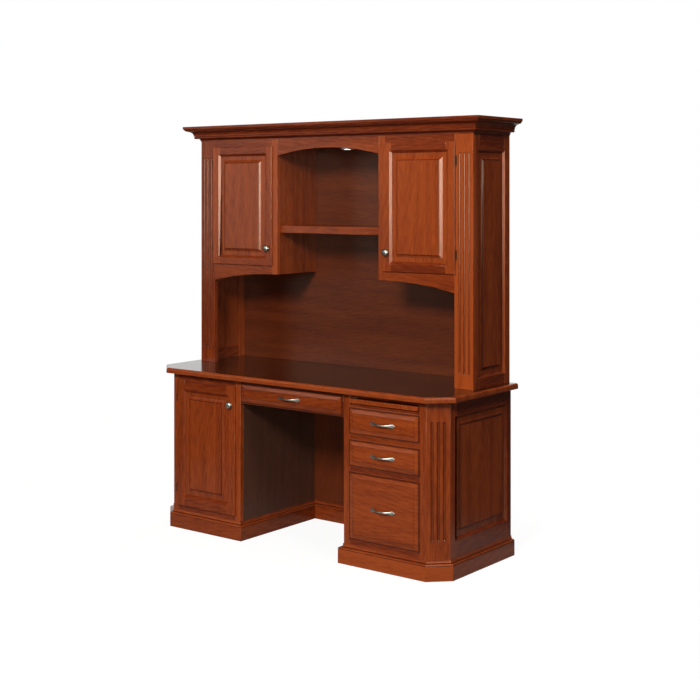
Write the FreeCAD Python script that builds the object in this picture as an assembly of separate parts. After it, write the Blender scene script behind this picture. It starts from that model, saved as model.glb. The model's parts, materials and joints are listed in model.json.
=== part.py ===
import FreeCAD, Part
import math
import os

# Credenza with hutch, in millimetres. X runs to the right, Y to the back and Z up.
# The origin lies on the floor, under the middle of the desk top's length and depth.

# Base case
desk_height = 762.0
base_width = 1600.0
base_depth = 564.0
corner_clip = 72.0
kneehole_width = 600.0
top_thickness = 25.0
top_overhang = 37.0
top_edge_round = 10.0
top_edge_ease = 3.0

# Boards that the cases are made of
frame_thickness = 20.0
board_thickness = 18.0
back_thickness = 6.0

# Plinth board and the moulding that caps it
plinth_height = 61.0
plinth_thickness = 19.0
cap_height = 24.0
cap_quirk_depth = 2.5
cap_quirk_height = 2.0
cap_ovolo_reach = 8.0
cap_ovolo_height = 8.0
cap_step = 2.0
cap_fillet = 3.0

# Face frames of the two pedestals
stile_width = 34.0
bottom_rail_reveal = 28.0
door_top_rail = 37.0
drawer_top_rail = 15.0
slot_height = 28.0
slot_rail = 18.0
drawer_opening = 109.0
drawer_rail = 30.0

# Lipped doors and drawer fronts: the lip laps the frame and stands proud of it
lip_lap = 6.0
lip_proud = 10.0
lip_gap = 0.5
front_thickness = 20.0
opening_clearance = 1.5
front_border = 27.0
front_bevel_width = 14.0
front_bevel_depth = 4.5
front_slope = 0.5
front_edge_step = 5.0
front_edge_drop = 1.5
front_edge_ease = 1.5

# Raised panels in grooved frames
sticking_width = 11.0
sticking_depth = 10.0
groove_depth = 8.0
groove_setback = 11.0
groove_width = 5.0
panel_play = 0.2
panel_border = 34.0
panel_cove_width = 15.0
panel_cove_sag = 1.0
panel_shoulder = 1.0
panel_field_setback = 0.5
door_edge_ease = 2.0

# Base door and the two framed ends of the base
door_stile = 52.0
door_rail = 55.0
end_front_stile = 48.0
end_back_stile = 42.0
end_top_rail = 76.0
end_bottom_reveal = 80.0

# Flutes with round ends
flute_count = 3
post_flute_radius = 6.5
post_flute_pitch = 26.0
post_flute_bottom_gap = 72.0
post_flute_top_gap = 81.0
pilaster_flute_radius = 5.5
pilaster_flute_pitch = 23.5
pilaster_flute_bottom_gap = 62.0
pilaster_flute_top_gap = 81.0

# Hutch, measured up from the desk top
hutch_end_setback = 6.0
hutch_depth = 305.0
pilaster_width = 88.0
bay_width = 594.0
hutch_stile = 36.0
work_height = 449.0
valance_height = 46.0
valance_drop = 41.0
hutch_opening_height = 562.0
frieze_height = 38.0
arch_gap = 7.0
arch_rise = 34.0
hutch_end_front_stile = 32.0
hutch_end_back_stile = 50.0
hutch_end_top_rail = 81.0
hutch_end_bottom_rail = 55.0
hutch_door_stile = 46.0
hutch_door_rail = 46.0

# Stock left past each mitre before it is sawn, as a share of the moulding's reach
mitre_spare = 1.5

# Crown moulding, from its foot on the frieze up to its top fillet
crown_height = 72.0
crown_overhang = 66.0
crown_lap = 48.0
crown_foot = 3.0
foot_cove_reach = 5.0
foot_cove_height = 12.0
bead_shelf = 12.0
bead_height = 12.0
bead_step = 7.0
ovolo_reach = 14.0
ovolo_height = 10.0
crown_step = 2.0
top_fillet_step = 4.0
top_fillet_height = 13.0

# Shelves and the pins they rest on
centre_shelf_height = 234.0
centre_shelf_thickness = 34.0
centre_shelf_setback = 25.0
shelf_setback = 12.0
shelf_play = 1.0
base_shelf_height = 290.0
hutch_shelf_height = 270.0
pin_radius = 2.5
pin_hole_depth = 10.0
pin_reach = 9.0
pin_play = 0.05

# Drawer boxes
box_board = 12.0
box_rear_gap = 88.0
box_lift = 8.0
box_top_gap = 17.0
file_box_top_gap = 37.0
box_bottom = 5.0
box_bottom_lift = 10.0
box_groove = 5.0
box_groove_play = 0.2

# Centre drawer under the desk top
centre_front_height = 97.0
centre_front_top_gap = 8.0
centre_front_side_gap = 2.0
centre_box_margin = 17.5
centre_box_rear_gap = 136.0

# Side runners: a steel channel on the case and a smaller one on the drawer
runner_space = 12.7
runner_height = 45.0
runner_flange_gap = 3.2
runner_wall = 1.5
runner_play = 0.3
runner_setback = 5.0
runner_rear_gap = 93.0
centre_runner_rear_gap = 141.0

# Pull-out writing board and its wooden guides
board_lift = 3.0
board_top_gap = 6.0
board_side_play = 1.0
board_rear_gap = 128.0
guide_reach = 20.0
guide_height = 20.0
guide_play = 0.3

# Butt hinges with the barrel beside the door's edge
barrel_radius = 3.5
barrel_gap = 0.3
hinge_height = 40.0
hinge_inset = 84.0
hinge_leaf = 1.5
hinge_web = 3.0
door_leaf_web = 1.5
knuckle_gap = 0.3
hinge_pin_radius = 1.5
hinge_pin_play = 0.05

# Round knobs
knob_radius = 16.0
knob_foot_radius = 8.0
knob_neck_radius = 5.5
knob_foot_height = 2.5
knob_shoulder_height = 5.25
knob_neck_height = 12.0
knob_rim_height = 17.0
knob_length = 25.0
knob_end_distance = 86.0
knob_thread_length = 10.0

# Bow pulls
pull_hole_spacing = 96.0
pull_tip_reach = 16.0
pull_bow = 18.5
pull_foot_offset = 2.6
pull_mid_half_width = 4.0
pull_foot_half_width = 7.5
pull_tip_half_width = 5.0
pull_mid_half_depth = 3.6
pull_tip_half_depth = 1.6
pull_post_radius = 4.6
pull_sections = 13

# Screws that hold the knobs and pulls
screw_radius = 2.0
screw_hole_radius = 2.25
screw_thread_play = 0.05
screw_head_radius = 4.0
screw_head_height = 2.5

# Puck light under the hutch ceiling
puck_radius = 34.0
puck_height = 14.0
puck_lens_radius = 27.0
puck_lens_depth = 5.0
puck_lens_play = 0.2

# Places worked out from the sizes above
back_y = (base_depth + top_overhang) / 2
front_y = back_y - base_depth
hutch_front_y = back_y - hutch_depth
half_base = base_width / 2
half_kneehole = kneehole_width / 2
half_hutch = half_base - hutch_end_setback
half_bay = bay_width / 2
case_top = desk_height - top_thickness
post_x = half_base - corner_clip
post_y = front_y + corner_clip
frame_back_y = front_y + frame_thickness
inside_back_y = back_y - back_thickness
kneehole_back_y = back_y - board_thickness
opening_x0 = half_kneehole + stile_width
opening_x1 = post_x - stile_width
inner_wall_x = half_kneehole + board_thickness
outer_wall_x = half_base - frame_thickness

moulding_top = plinth_height + cap_height
bottom_rail_top = moulding_top + bottom_rail_reveal
slot_top = case_top - drawer_top_rail
slot_bottom = slot_top - slot_height
drawer_1_top = slot_bottom - slot_rail
drawer_1_bottom = drawer_1_top - drawer_opening
drawer_2_top = drawer_1_bottom - drawer_rail
drawer_2_bottom = drawer_2_top - drawer_opening
drawer_3_top = drawer_2_bottom - drawer_rail
door_opening_top = case_top - door_top_rail

hutch_frame_back_y = hutch_front_y + frame_thickness
stile_bottom = desk_height + work_height
hutch_floor_top = stile_bottom + valance_height
hutch_ceiling = hutch_floor_top + hutch_opening_height
crown_bottom = hutch_ceiling + frieze_height
hutch_case_top = crown_bottom + crown_lap
hutch_opening_x0 = half_bay + hutch_stile
hutch_opening_x1 = half_hutch - pilaster_width - lip_lap
partition_x = half_bay + board_thickness
hutch_wall_x = half_hutch - frame_thickness
hinge_offset = barrel_radius + barrel_gap

front_face_y = front_y - lip_proud
front_back_y = front_face_y + front_thickness
box_back_y = inside_back_y - box_rear_gap
centre_box_back_y = kneehole_back_y - centre_box_rear_gap
runner_y0 = frame_back_y + runner_setback
runner_y1 = inside_back_y - runner_rear_gap
centre_runner_y1 = kneehole_back_y - centre_runner_rear_gap
board_back_y = inside_back_y - board_rear_gap
runner_flange = runner_space - runner_flange_gap
pull_length = pull_hole_spacing + 2 * pull_tip_reach

UP = FreeCAD.Vector(0, 0, 1)
BACKWARD = FreeCAD.Vector(0, 1, 0)
RIGHT = FreeCAD.Vector(1, 0, 0)
CENTRE = FreeCAD.Vector(0, 0, 0)

# How far along its radius the middle of a quarter round lies, and a length that counts as none
QUARTER_MIDDLE = math.sin(math.pi / 4)
TINY = 1e-6


def point(x, y, z):
    return FreeCAD.Vector(x, y, z)


def box(x0, x1, y0, y1, z0, z1):
    """A board between two opposite corners, given in any order."""
    low = point(min(x0, x1), min(y0, y1), min(z0, z1))
    return Part.makeBox(abs(x1 - x0), abs(y1 - y0), abs(z1 - z0), low)


def mirrored(shape):
    """The same piece on the other side of the middle."""
    return shape.mirror(CENTRE, RIGHT)


def pair(shape):
    return [mirrored(shape), shape]


def slab(outline, z0, z1):
    """A flat piece with the given plan outline."""
    corners = [point(x, y, z0) for x, y in outline]
    face = Part.Face(Part.makePolygon(corners + corners[:1]))
    return face.extrude(UP * (z1 - z0))


def export(node, *pieces):
    shape = pieces[0] if len(pieces) == 1 else Part.makeCompound(list(pieces))
    shape.exportStep("parts/" + node + ".step")


def front_place(y):
    """Places a panel's width, height and depth on a face that looks to the front."""
    return lambda u, w, d: point(u, y + d, w)


def end_place(x):
    """Places a panel's width, height and depth on a face that looks to the right."""
    return lambda u, w, d: point(x - d, u, w)


def block(place, rect, d0, d1):
    """A board of the given rectangle between two depths of a placed panel."""
    a = place(rect[0], rect[2], d0)
    b = place(rect[1], rect[3], d1)
    return box(a.x, b.x, a.y, b.y, a.z, b.z)


def inset(rect, amount):
    return (rect[0] + amount, rect[1] - amount, rect[2] + amount, rect[3] - amount)


def stepped_block(place, rect, levels):
    """A solid with rectangular levels, each an inset from the outline and a depth."""
    rings = []
    for amount, depth in levels:
        u0, u1, w0, w1 = inset(rect, amount)
        rings.append([place(u, w, depth) for u, w in ((u0, w0), (u1, w0), (u1, w1), (u0, w1))])
    faces = [Part.Face(Part.makePolygon(ring + ring[:1])) for ring in (rings[0], rings[-1])]
    for near, far in zip(rings, rings[1:]):
        for i in range(4):
            j = (i + 1) % 4
            corners = [near[i], near[j], far[j], far[i], near[i]]
            faces.append(Part.Face(Part.makePolygon(corners)))
    solid = Part.makeSolid(Part.makeShell(faces))
    if solid.Volume < 0:
        solid.reverse()
    return solid


def arc(a, mid, b):
    return Part.Arc(a, mid, b).toShape()


def panel_coves(place, sight):
    """The wood cut away along a raised panel's four sides, to a flat tongue and a cove up to the field."""
    u0, u1, w0, w1 = sight
    low_u, high_u, low_w, high_w = inset(sight, -groove_depth)
    tongue_front = groove_setback + panel_play
    field_foot = panel_field_setback + panel_shoulder
    rise = tongue_front - field_foot
    sag = panel_cove_sag / math.hypot(panel_cove_width, rise)
    middle = (panel_border - panel_cove_width / 2 + sag * rise,
              (tongue_front + field_foot) / 2 + sag * panel_cove_width)
    corners = [(panel_border, field_foot), (panel_border, 0), (-groove_depth, 0),
               (-groove_depth, tongue_front), (panel_border - panel_cove_width, tongue_front)]
    upright = place(0, high_w - low_w, 0) - place(0, 0, 0)
    level = place(high_u - low_u, 0, 0) - place(0, 0, 0)
    sides = [
        (lambda t, d: place(u0 + t, low_w, d), upright),
        (lambda t, d: place(u1 - t, low_w, d), upright),
        (lambda t, d: place(low_u, w0 + t, d), level),
        (lambda t, d: place(low_u, w1 - t, d), level),
    ]
    coves = []
    for at, length in sides:
        straight = Part.makePolygon([at(t, d) for t, d in corners])
        cove = arc(at(*corners[-1]), at(*middle), at(*corners[0]))
        coves.append(Part.Face(Part.Wire(straight.Edges + [cove])).extrude(length))
    return coves


def panelled_frame(place, envelope, rect, stiles, rails):
    """Two stiles, two rails and the raised panel that floats in their groove."""
    u0, u1, w0, w1 = rect
    sight = (u0 + stiles[0], u1 - stiles[1], w0 + rails[0], w1 - rails[1])
    outlines = [
        (u0, sight[0], w0, w1),
        (sight[1], u1, w0, w1),
        (sight[0], sight[1], w0, sight[2]),
        (sight[0], sight[1], sight[3], w1),
    ]
    sticking = stepped_block(place, sight, [(-sticking_width, 0), (0, sticking_depth)])
    groove = block(place, inset(sight, -groove_depth), groove_setback, groove_setback + groove_width)
    boards = []
    for outline in outlines:
        board = envelope.common(block(place, outline, 0, front_thickness))
        boards.append(board.cut(sticking).cut(groove).Solids[0])
    blank = block(place, inset(sight, panel_play - groove_depth), panel_field_setback,
                  groove_setback + groove_width - panel_play)
    return boards, cut_all(blank, panel_coves(place, sight))


def mitred_run(path, profile, reach, height):
    """Straight lengths of one moulding along a plan path, mitred where they meet.

    The profile is a function that gives a closed wire for a start point and an outward direction.
    The moulding stands out from the path by its reach, between the two heights.
    """
    corners = [point(x, y, 0) for x, y in path]
    runs = [b - a for a, b in zip(corners, corners[1:])]
    normals = [run.cross(UP).normalize() for run in runs]
    mitres = [normals[0]]
    for before, after in zip(normals, normals[1:]):
        mitres.append((before + after) * (1 / (1 + before.dot(after))))
    mitres.append(normals[-1])
    stock = reach * mitre_spare
    lengths = []
    for i, normal in enumerate(normals):
        a = corners[i]
        b = corners[i + 1]
        spare = UP.cross(normal) * stock
        section = Part.Face(profile(a - spare, normal))
        moulding = section.extrude(runs[i] + spare * 2)
        plan = [a, a + mitres[i] * stock, b + mitres[i + 1] * stock, b]
        limit = slab([(p.x, p.y) for p in plan], height[0], height[1])
        lengths.append(moulding.common(limit).Solids[0])
    return lengths


def fluted(board, centre, along, pitch, radius, z0, z1):
    """Cuts round-ended flutes into a board's face, spread evenly about its centre line."""
    for i in range(flute_count):
        foot = centre + along * ((i - (flute_count - 1) / 2) * pitch)
        low = foot + UP * (z0 + radius)
        board = board.cut(Part.makeCylinder(radius, z1 - z0 - 2 * radius, low, UP))
        for z in (z0 + radius, z1 - radius):
            board = board.cut(Part.makeSphere(radius, foot + UP * z))
    return board.Solids[0]


def shelf_pins(x, toward, y_places, z):
    """Pins that stand out of a wall under a shelf, and the holes that hold them."""
    pins = []
    holes = []
    for y in y_places:
        start = point(x - toward * pin_hole_depth, y, z - pin_radius)
        pins.append(Part.makeCylinder(pin_radius, pin_hole_depth + pin_reach, start, RIGHT * toward))
        holes.append(Part.makeCylinder(pin_radius + pin_play, pin_hole_depth, start, RIGHT * toward))
    return pins, holes


def cut_all(shape, tools):
    for tool in tools:
        shape = shape.cut(tool)
    return shape.Solids[0]


def knob(x, face, z, grip):
    """A turned knob on a door's face, and the screw that holds it through the door."""
    def at(radius, height):
        return point(x + radius, face - height, z)

    neck_low = at(knob_neck_radius, knob_shoulder_height)
    neck_high = at(knob_neck_radius, knob_neck_height)
    rim = at(knob_radius, knob_rim_height)
    top = at(0, knob_length)
    dome_height = knob_length - knob_rim_height
    dome_radius = (knob_radius ** 2 + dome_height ** 2) / (2 * dome_height)
    half_dome = math.asin(knob_radius / dome_radius) / 2
    dome_mid = at(dome_radius * math.sin(half_dome),
                  knob_length - dome_radius * (1 - math.cos(half_dome)))
    edges = [
        Part.makeLine(at(0, 0), at(knob_foot_radius, 0)),
        Part.makeLine(at(knob_foot_radius, 0), at(knob_foot_radius, knob_foot_height)),
        Part.makeLine(at(knob_foot_radius, knob_foot_height), neck_low),
        Part.makeLine(neck_low, neck_high),
        Part.makeLine(neck_high, rim),
        arc(rim, dome_mid, top),
        Part.makeLine(top, at(0, 0)),
    ]
    profile = Part.Face(Part.Wire(edges))
    body = profile.revolve(point(x, face, z), -BACKWARD, 360)
    return [threaded(body, x, face, z, knob_thread_length), screw(x, face, z, grip, knob_thread_length)]


def threaded(body, x, face, z, thread):
    """Bores a blind hole for the screw into the back of a knob or pull."""
    start = point(x, face, z)
    hole = Part.makeCylinder(screw_radius + screw_thread_play, thread, start, -BACKWARD)
    return body.cut(hole).Solids[0]


def screw(x, face, z, grip, thread):
    """A screw whose head bears on the back of the wood that it goes through."""
    tip = point(x, face - thread, z)
    shank = Part.makeCylinder(screw_radius, thread + grip, tip, BACKWARD)
    head = Part.makeCylinder(screw_head_radius, screw_head_height, point(x, face + grip, z), BACKWARD)
    return shank.fuse(head).removeSplitter().Solids[0]


def screw_hole(x, face, z, grip):
    return Part.makeCylinder(screw_hole_radius, grip, point(x, face, z), BACKWARD)


def bow_pull(x, face, z, grip):
    """A bow pull with flattened feet, on two short posts, and its two screws."""
    sections = []
    for i in range(pull_sections):
        share = 2 * i / (pull_sections - 1) - 1
        bow = math.cos(share * math.pi / 2) ** 2
        foot = math.sin(abs(share) ** 3 * math.pi) ** 2
        half_width = pull_tip_half_width + (pull_mid_half_width - pull_tip_half_width) * bow
        half_width += (pull_foot_half_width - pull_mid_half_width) * foot
        half_depth = pull_tip_half_depth + (pull_mid_half_depth - pull_tip_half_depth) * bow
        centre = point(x + share * pull_length / 2, face - pull_foot_offset - pull_bow * bow, z)
        across = UP if half_width >= half_depth else BACKWARD
        ellipse = Part.Ellipse(centre + across * max(half_width, half_depth),
                               centre + across.cross(RIGHT) * min(half_width, half_depth), centre)
        sections.append(Part.Wire(ellipse.toShape()))
    body = Part.makeLoft(sections, True, False)
    screws = []
    hole_bow = math.cos(pull_hole_spacing / pull_length * math.pi / 2) ** 2
    post_height = pull_foot_offset + pull_bow * hole_bow
    places = [x - pull_hole_spacing / 2, x + pull_hole_spacing / 2]
    for place in places:
        post = Part.makeCylinder(pull_post_radius, post_height, point(place, face, z), -BACKWARD)
        body = body.fuse(post)
    for place in places:
        body = threaded(body, place, face, z, post_height)
        screws.append(screw(place, face, z, grip, post_height))
    return [body] + screws


def hinge(x, face, z, hand):
    """One hinge. hand is +1 where the barrel lies to the right of the door's edge.

    Gives the case leaf, the pin, the door leaf and the two shallow seats cut for the leaves.
    """
    axis_x = x + hand * hinge_offset
    axis_y = face - hinge_offset
    low = z - hinge_height / 2
    third = hinge_height / 3
    high = low + hinge_height
    foot = point(axis_x, axis_y, low)
    bore = Part.makeCylinder(hinge_pin_radius + hinge_pin_play, hinge_height, foot, UP)

    def knuckle(z0, z1):
        return Part.makeCylinder(barrel_radius, z1 - z0, point(axis_x, axis_y, z0), UP)

    seat = box(x - hand * lip_lap, axis_x + hand * hinge_web / 2, face, face + hinge_leaf, low, high)
    case_leaf = seat
    for z0, z1 in ((low, low + third - knuckle_gap), (high - third + knuckle_gap, high)):
        web = box(axis_x - hinge_web / 2, axis_x + hinge_web / 2, axis_y, face + hinge_leaf, z0, z1)
        case_leaf = case_leaf.fuse(web).fuse(knuckle(z0, z1))
    door_seat = box(x - hand * hinge_leaf, x, face - lip_proud + door_edge_ease, face - lip_gap, low, high)
    web = box(x - hand * hinge_leaf, axis_x, axis_y - door_leaf_web / 2, axis_y + door_leaf_web / 2,
              low + third, high - third)
    door_leaf = door_seat.fuse(web).fuse(knuckle(low + third, high - third))
    pin = Part.makeCylinder(hinge_pin_radius, hinge_height, foot, UP)
    return (case_leaf.cut(bore).removeSplitter().Solids[0], pin,
            door_leaf.cut(bore).removeSplitter().Solids[0], seat, door_seat)


def lipped_levels(*front_levels):
    """A front's outer levels, then the lip's back and the part that enters the opening."""
    rebate = lip_lap + opening_clearance
    lip_back = lip_proud - lip_gap
    return list(front_levels) + [(0, lip_back), (rebate, lip_back), (rebate, front_thickness)]


def door(name, opening, face, hand, stile, rail, knob_z):
    """A lipped door with its panel, knob and hinges. hand is the side of its hinges."""
    rect = inset(opening, -lip_lap)
    front = face - lip_proud
    place = front_place(front)
    envelope = stepped_block(place, rect, lipped_levels((door_edge_ease, 0), (0, door_edge_ease)))
    boards, panel = panelled_frame(place, envelope, rect, (stile, stile), (rail, rail))
    edge_x = rect[1] if hand > 0 else rect[0]
    knob_x = rect[0] + stile / 2 if hand > 0 else rect[1] - stile / 2
    hole = screw_hole(knob_x, front, knob_z, front_thickness)
    boards = [board.cut(hole) for board in boards]
    case_leaves = []
    pins = []
    door_leaves = []
    seats = []
    for z in (rect[2] + hinge_inset, rect[3] - hinge_inset):
        case_leaf, pin, door_leaf, seat, door_seat = hinge(edge_x, face, z, hand)
        case_leaves.append(case_leaf)
        pins.append(pin)
        door_leaves.append(door_leaf)
        seats.append(seat)
        boards = [board.cut(door_seat) for board in boards]
    export(name + "_frame", *[board.Solids[0] for board in boards])
    export(name + "_panel", panel)
    export(name + "_knob", *knob(knob_x, front, knob_z, front_thickness))
    export(name + "_hinge_leaves", *door_leaves)
    return case_leaves, pins, seats


def channel(back_x, toward, y0, y1, z, half):
    """A steel channel that opens away from the face it is fixed to."""
    reach = back_x + toward * runner_flange
    hollow_half = half - runner_wall
    hollow = box(back_x + toward * runner_wall, reach, y0, y1, z - hollow_half, z + hollow_half)
    return box(back_x, reach, y0, y1, z - half, z + half).cut(hollow).Solids[0]


def runner(wall_x, toward, y0, y1, z):
    """The case channel and the smaller drawer channel of one side runner."""
    half = runner_height / 2
    case = channel(wall_x, toward, y0, y1, z, half)
    moving = channel(wall_x + toward * runner_space, -toward, y0, y1, z, half - runner_wall - runner_play)
    return case, moving


def drawer_box(x0, x1, y0, y1, z0, z1):
    """Two sides, a front and a back with a bottom in their groove."""
    rect = (x0 + box_board, x1 - box_board, y0 + box_board, y1 - box_board)
    low = z0 + box_bottom_lift
    u0, u1, v0, v1 = inset(rect, -box_groove)
    groove = box(u0, u1, v0, v1, low, low + box_bottom)
    u0, u1, v0, v1 = inset(rect, box_groove_play - box_groove)
    bottom = box(u0, u1, v0, v1, low + box_groove_play, low + box_bottom - box_groove_play)
    boards = [
        box(x0, rect[0], y0, y1, z0, z1),
        box(rect[1], x1, y0, y1, z0, z1),
        box(rect[0], rect[1], y0, rect[2], z0, z1),
        box(rect[0], rect[1], rect[3], y1, z0, z1),
    ]
    return [board.cut(groove).Solids[0] for board in boards] + [bottom]


def drawer(name, rect, levels, walls, heights, box_back, runner_back):
    """A drawer with its front, box, pull and runners. Gives the case channels of its runners."""
    grip = front_thickness + box_board
    middle = (rect[0] + rect[1]) / 2
    pull_z = (rect[2] + rect[3]) / 2
    places = (middle - pull_hole_spacing / 2, middle + pull_hole_spacing / 2)
    holes = [screw_hole(x, front_face_y, pull_z, grip) for x in places]
    front = stepped_block(front_place(front_face_y), rect, levels)
    boards = drawer_box(walls[0] + runner_space, walls[1] - runner_space, front_back_y, box_back, *heights)
    boards = [cut_all(board, holes) for board in boards]
    export(name + "_front", cut_all(front, holes))
    export(name + "_box", *boards)
    export(name + "_pull", *bow_pull(middle, front_face_y, pull_z, grip))
    runner_z = (heights[0] + heights[1]) / 2
    left_case, left_moving = runner(walls[0], 1, runner_y0, runner_back, runner_z)
    right_case, right_moving = runner(walls[1], -1, runner_y0, runner_back, runner_z)
    export(name + "_runners", left_moving, right_moving)
    return [left_case, right_case]


def front_levels():
    """The moulded border of a drawer front, from its raised field out to its edge."""
    slope_end = front_bevel_depth + front_slope
    return [
        (front_border, 0),
        (front_border - front_bevel_width, front_bevel_depth),
        (front_edge_step, slope_end),
        (front_edge_step, slope_end + front_edge_drop),
        (0, slope_end + front_edge_drop + front_edge_ease),
    ]


def desk_top():
    """The clipped top, with a large round on its upper edge and a small one below."""
    # Keeps the overhang the same across the clipped corners as along the straight edges.
    clip = corner_clip + top_overhang * (2 - math.sqrt(2))
    half = half_base + top_overhang
    y = front_y - top_overhang
    outline = [(-half, back_y), (-half, y + clip), (-half + clip, y), (half - clip, y),
               (half, y + clip), (half, back_y)]
    top = slab(outline, case_top, desk_height)

    def rim(z):
        return [edge for edge in top.Edges
                if abs(edge.BoundBox.ZMin - z) < TINY and abs(edge.BoundBox.ZMax - z) < TINY
                and edge.BoundBox.YMin < back_y - TINY]

    top = top.makeFillet(top_edge_round, rim(desk_height))
    return top.makeFillet(top_edge_ease, rim(case_top))


def base_moulding():
    """The plinth boards and the moulding that caps them, all round the base and kneehole."""
    path = [(-half_base, back_y), (-half_base, post_y), (-post_x, front_y), (-half_kneehole, front_y),
            (-half_kneehole, kneehole_back_y), (half_kneehole, kneehole_back_y),
            (half_kneehole, front_y), (post_x, front_y), (half_base, post_y), (half_base, back_y)]

    def board(start, out):
        corners = [start, start + out * plinth_thickness,
                   start + out * plinth_thickness + UP * plinth_height, start + UP * plinth_height]
        return Part.makePolygon(corners + corners[:1])

    def cap(start, out):
        def at(reach, height):
            return start + out * reach + UP * (plinth_height + height)

        quirk_in = plinth_thickness - cap_quirk_depth
        ovolo_in = plinth_thickness - cap_ovolo_reach
        ovolo_top = cap_quirk_height + cap_ovolo_height
        cove_out = ovolo_in - cap_step
        cove_reach = cove_out - cap_fillet
        cove_height = cap_height - ovolo_top - cap_fillet
        ovolo_mid = at(ovolo_in + cap_ovolo_reach * QUARTER_MIDDLE,
                       cap_quirk_height + cap_ovolo_height * QUARTER_MIDDLE)
        cove_mid = at(cove_out - cove_reach * QUARTER_MIDDLE,
                      ovolo_top + cove_height * (1 - QUARTER_MIDDLE))
        cove_top = at(cap_fillet, ovolo_top + cove_height)
        return Part.Wire([
            Part.makeLine(at(0, 0), at(quirk_in, 0)),
            Part.makeLine(at(quirk_in, 0), at(quirk_in, cap_quirk_height)),
            Part.makeLine(at(quirk_in, cap_quirk_height), at(plinth_thickness, cap_quirk_height)),
            arc(at(plinth_thickness, cap_quirk_height), ovolo_mid, at(ovolo_in, ovolo_top)),
            Part.makeLine(at(ovolo_in, ovolo_top), at(cove_out, ovolo_top)),
            arc(at(cove_out, ovolo_top), cove_mid, cove_top),
            Part.makeLine(cove_top, at(cap_fillet, cap_height)),
            Part.makeLine(at(cap_fillet, cap_height), at(0, cap_height)),
            Part.makeLine(at(0, cap_height), at(0, 0)),
        ])

    height = (0, moulding_top)
    boards = mitred_run(path, board, plinth_thickness, height)
    return boards + mitred_run(path, cap, plinth_thickness, height)


def crown():
    """The crown moulding across the front and back along both ends."""
    path = [(-half_hutch, back_y), (-half_hutch, hutch_front_y),
            (half_hutch, hutch_front_y), (half_hutch, back_y)]

    def profile(start, out):
        def at(reach, height):
            return start + out * reach + UP * (crown_bottom + height)

        foot_top = crown_foot + foot_cove_reach
        bead_out = foot_top + bead_shelf
        bead_top = foot_cove_height + bead_height
        cove_in = bead_out + bead_step
        ovolo_out = crown_overhang - top_fillet_step
        ovolo_top = crown_height - top_fillet_height
        ovolo_in = ovolo_out - ovolo_reach
        ovolo_low = ovolo_top - ovolo_height
        cove_out = ovolo_in - crown_step
        cove_top = ovolo_low - crown_step
        foot_mid = at(crown_foot + foot_cove_reach * (1 - QUARTER_MIDDLE),
                      foot_cove_height * QUARTER_MIDDLE)
        bead_mid = at(bead_out + bead_height / 2, foot_cove_height + bead_height / 2)
        cove_mid = at(cove_in + (cove_out - cove_in) * (1 - QUARTER_MIDDLE),
                      bead_top + (cove_top - bead_top) * QUARTER_MIDDLE)
        ovolo_mid = at(ovolo_in + ovolo_reach * QUARTER_MIDDLE,
                       ovolo_low + ovolo_height * (1 - QUARTER_MIDDLE))
        return Part.Wire([
            Part.makeLine(at(0, 0), at(crown_foot, 0)),
            arc(at(crown_foot, 0), foot_mid, at(foot_top, foot_cove_height)),
            Part.makeLine(at(foot_top, foot_cove_height), at(bead_out, foot_cove_height)),
            arc(at(bead_out, foot_cove_height), bead_mid, at(bead_out, bead_top)),
            Part.makeLine(at(bead_out, bead_top), at(cove_in, bead_top)),
            arc(at(cove_in, bead_top), cove_mid, at(cove_out, cove_top)),
            Part.makeLine(at(cove_out, cove_top), at(ovolo_in, cove_top)),
            Part.makeLine(at(ovolo_in, cove_top), at(ovolo_in, ovolo_low)),
            arc(at(ovolo_in, ovolo_low), ovolo_mid, at(ovolo_out, ovolo_top)),
            Part.makeLine(at(ovolo_out, ovolo_top), at(crown_overhang, ovolo_top)),
            Part.makeLine(at(crown_overhang, ovolo_top), at(crown_overhang, crown_height)),
            Part.makeLine(at(crown_overhang, crown_height), at(0, crown_height)),
            Part.makeLine(at(0, crown_height), at(0, 0)),
        ])

    return mitred_run(path, profile, crown_overhang, (crown_bottom, crown_bottom + crown_height))


def corner_post():
    """The fluted post across the right-hand clipped corner."""
    outline = [(post_x, front_y), (half_base, post_y), (outer_wall_x, post_y), (post_x, frame_back_y)]
    along = (RIGHT + BACKWARD).normalize()
    centre = point((post_x + half_base) / 2, (front_y + post_y) / 2, 0)
    return fluted(slab(outline, 0, case_top), centre, along, post_flute_pitch, post_flute_radius,
                  moulding_top + post_flute_bottom_gap, case_top - post_flute_top_gap)


def pilaster():
    """The fluted board at the right of the hutch's front."""
    board = box(hutch_opening_x1, half_hutch, hutch_front_y, hutch_frame_back_y,
                desk_height, hutch_case_top)
    centre = point(half_hutch - pilaster_width / 2, hutch_front_y, 0)
    return fluted(board, centre, RIGHT, pilaster_flute_pitch, pilaster_flute_radius,
                  desk_height + pilaster_flute_bottom_gap, crown_bottom - pilaster_flute_top_gap)


def arched_board(x0, x1, top, ends, mid):
    """A rail of the hutch's front whose lower edge is an arc through its ends and middle."""
    def at(x, z):
        return point(x, hutch_front_y, z)

    edges = [
        arc(at(x0, ends[0]), at(mid[0], mid[1]), at(x1, ends[1])),
        Part.makeLine(at(x1, ends[1]), at(x1, top)),
        Part.makeLine(at(x1, top), at(x0, top)),
        Part.makeLine(at(x0, top), at(x0, ends[0])),
    ]
    return Part.Face(Part.Wire(edges)).extrude(BACKWARD * frame_thickness)


def valance():
    """The board under the right-hand hutch door, cut as half of a flat arch."""
    run = hutch_opening_x1 - hutch_opening_x0
    radius = (run ** 2 + valance_drop ** 2) / (2 * valance_drop)
    half_turn = math.asin(run / radius) / 2
    mid = (hutch_opening_x0 + radius * math.sin(half_turn),
           stile_bottom - radius * (1 - math.cos(half_turn)))
    ends = (stile_bottom, stile_bottom - valance_drop)
    return arched_board(hutch_opening_x0, hutch_opening_x1, hutch_floor_top, ends, mid)


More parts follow.
